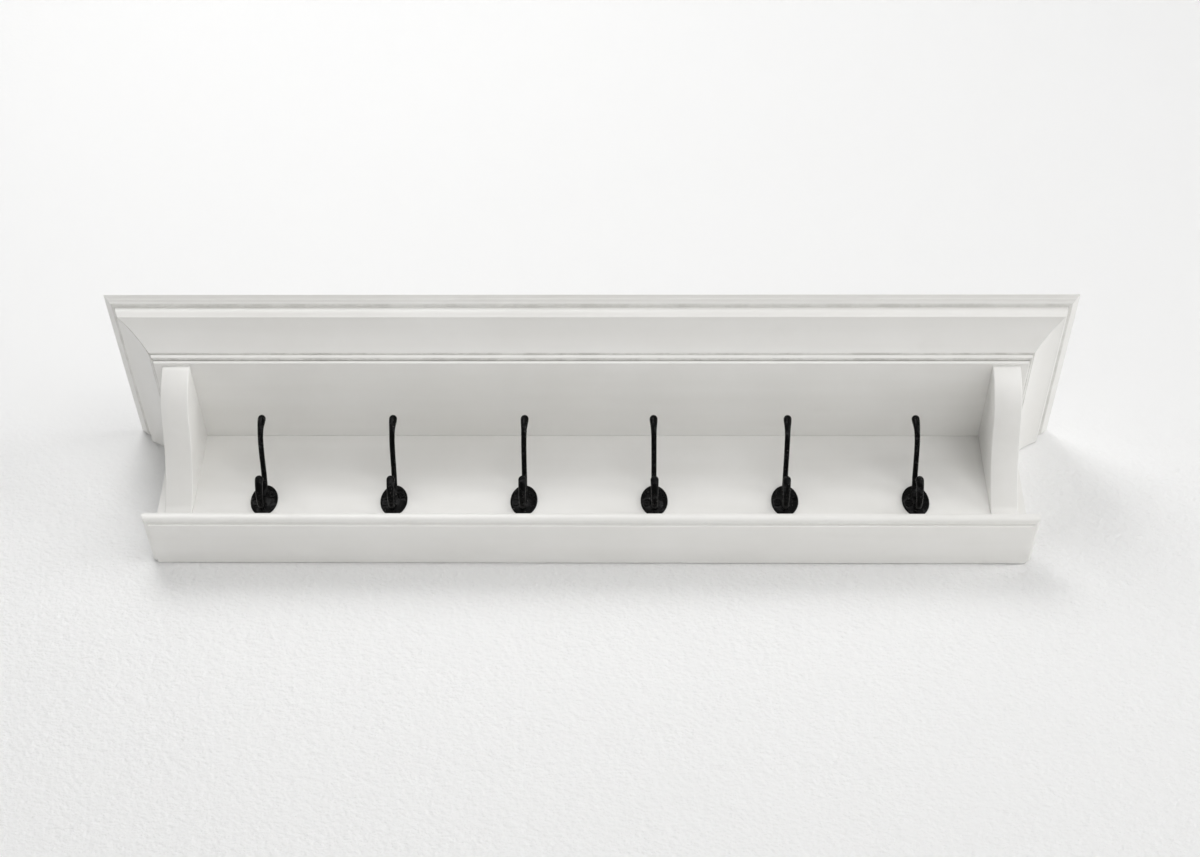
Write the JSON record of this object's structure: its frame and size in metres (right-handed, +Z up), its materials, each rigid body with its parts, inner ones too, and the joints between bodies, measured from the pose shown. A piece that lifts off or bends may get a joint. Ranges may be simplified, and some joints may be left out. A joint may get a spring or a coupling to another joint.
{
  "type": "wall shelf with coat hooks",
  "caption": "Wall shelf with a moulded crown top, curved side brackets, a narrow bottom ledge and a row of black cast double coat hooks.",
  "frame": {"origin": "on the wall face of the hanging rail, at the middle of the shelf's width and at the height of the keyhole hangers", "axes": "+X along the shelf to the viewer's right, +Y into the wall, +Z up; the front faces -Y"},
  "size_m": [1, 0.21, 0.185],
  "materials": {
    "painted_wood": "satin white paint over wood",
    "bare_wood": "planed, unpainted",
    "black_iron": "satin black lacquer over a cast skin",
    "black_screw": "black oxide",
    "zinc_plate": "bright zinc plate",
    "zinc_screw": "bright zinc plate"
  },
  "bodies": {
    "root": {"crown_front": "painted_wood", "crown_left_return": "painted_wood", "crown_right_return": "painted_wood", "top_board": "painted_wood", "soffit_board": "painted_wood", "crown_blocks": "bare_wood", "crown_back_rail": "bare_wood", "back_panel": "painted_wood", "left_end_batten": "painted_wood", "right_end_batten": "painted_wood", "hanging_rail": "bare_wood", "hanger_plates": "zinc_plate", "left_bracket": "painted_wood", "right_bracket": "painted_wood", "bottom_ledge": "painted_wood", "ledge_dowels": "bare_wood", "hook_1": "black_iron", "hook_2": "black_iron", "hook_3": "black_iron", "hook_4": "black_iron", "hook_5": "black_iron", "hook_6": "black_iron", "hook_screws": "black_screw", "soffit_screws": "zinc_screw", "bracket_screws": "zinc_screw", "rail_screws": "zinc_screw", "hanger_screws": "zinc_screw"}
  },
  "joints": []
}
